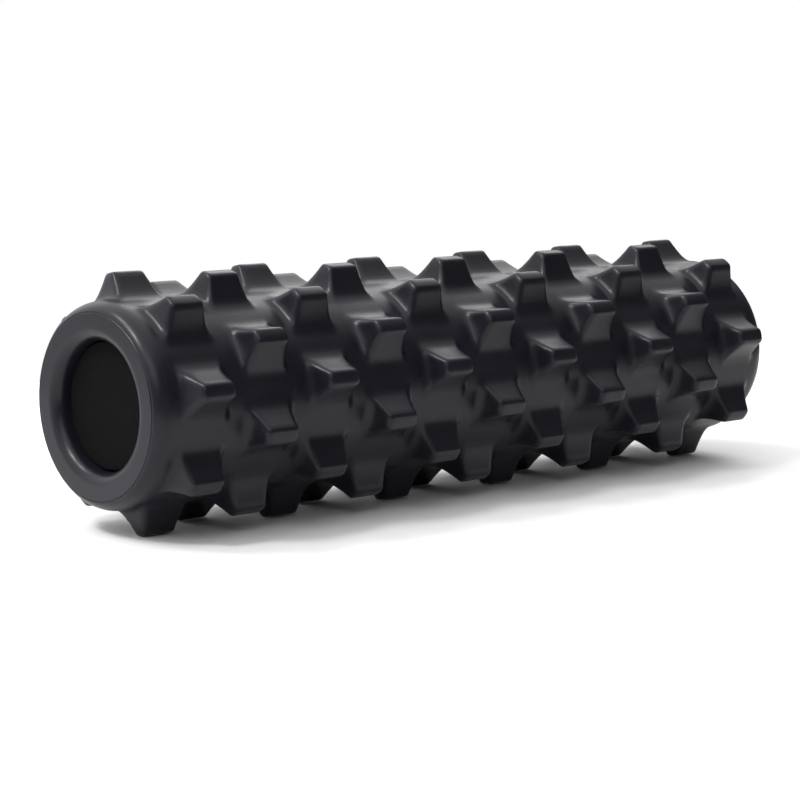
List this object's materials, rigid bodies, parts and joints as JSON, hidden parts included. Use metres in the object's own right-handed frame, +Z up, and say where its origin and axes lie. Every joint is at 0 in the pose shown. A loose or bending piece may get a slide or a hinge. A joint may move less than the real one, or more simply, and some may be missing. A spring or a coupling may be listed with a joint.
{
  "type": "foam roller",
  "caption": "Black knobbed massage roller: a moulded foam sleeve covered in tapered knobs, glued round a foam core that sits a little below both end faces.",
  "frame": {"origin": "on the surface the roller lies on, straight below the middle of its axis", "axes": "+X along the roller's axis, +Z up, +Y level across it"},
  "size_m": [0.45, 0.1286, 0.1287],
  "materials": {
    "moulded_foam": "satin moulded foam skin",
    "core_foam": "matte cut foam"
  },
  "bodies": {
    "root": {"knobbed_sleeve": "moulded_foam", "foam_core": "core_foam"}
  },
  "joints": []
}
